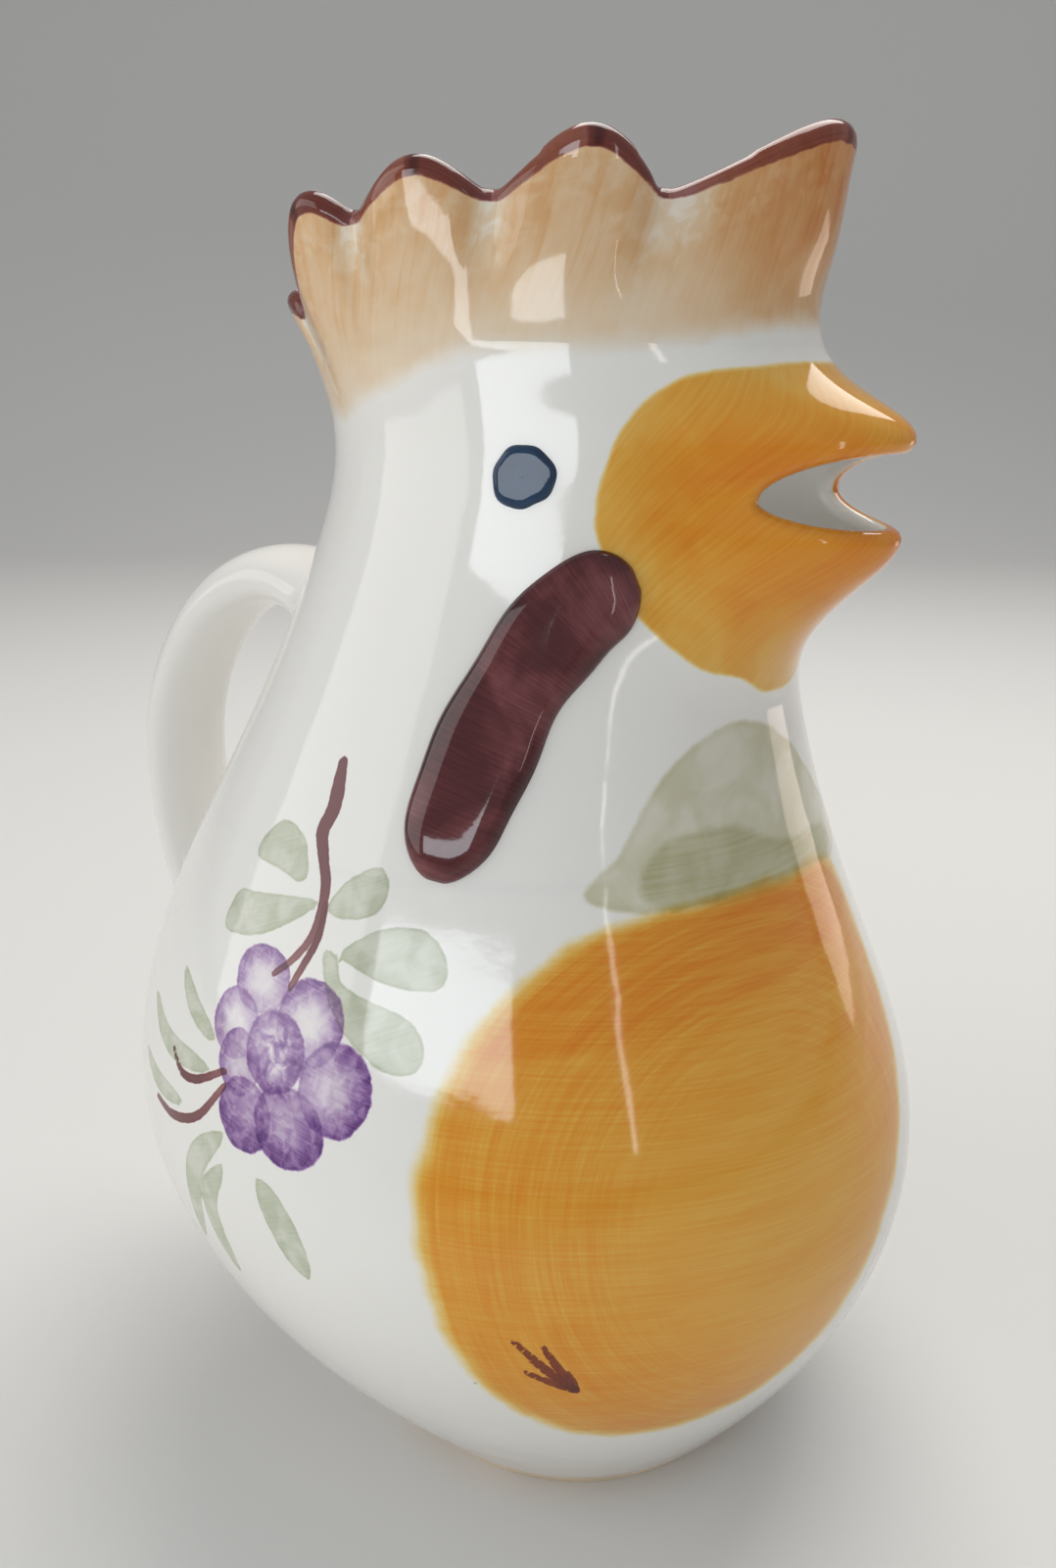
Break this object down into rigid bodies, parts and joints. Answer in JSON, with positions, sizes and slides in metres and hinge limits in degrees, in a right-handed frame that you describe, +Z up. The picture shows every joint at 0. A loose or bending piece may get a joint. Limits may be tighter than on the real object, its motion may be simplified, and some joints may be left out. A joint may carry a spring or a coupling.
{
  "type": "rooster pitcher",
  "caption": "Hollow rooster-shaped jug: a lobed comb rim to fill it, an open beak to pour from and a strap handle at the back.",
  "frame": {"origin": "middle of the foot ring's standing face", "axes": "+Z up, +X towards the beak, so the handle is towards -X and the bird's right side towards -Y"},
  "size_m": [0.1766, 0.148, 0.2367],
  "materials": {
    "biscuit_clay": "matt unglazed",
    "white_glaze": "glossy",
    "tan_glaze": "glossy, brushed",
    "yellow_glaze": "glossy, brushed",
    "brown_glaze": "glossy, brushed",
    "navy_glaze": "glossy"
  },
  "bodies": {
    "root": {"foot_ring": "biscuit_clay", "belly_shell": "white_glaze", "neck_shell": "white_glaze", "head_shell": "white_glaze", "comb_crown": "tan_glaze", "upper_beak": "yellow_glaze", "lower_beak": "yellow_glaze", "handle": "white_glaze", "right_wattle": "brown_glaze", "left_wattle": "brown_glaze", "right_eye": "navy_glaze", "left_eye": "navy_glaze"}
  },
  "joints": []
}
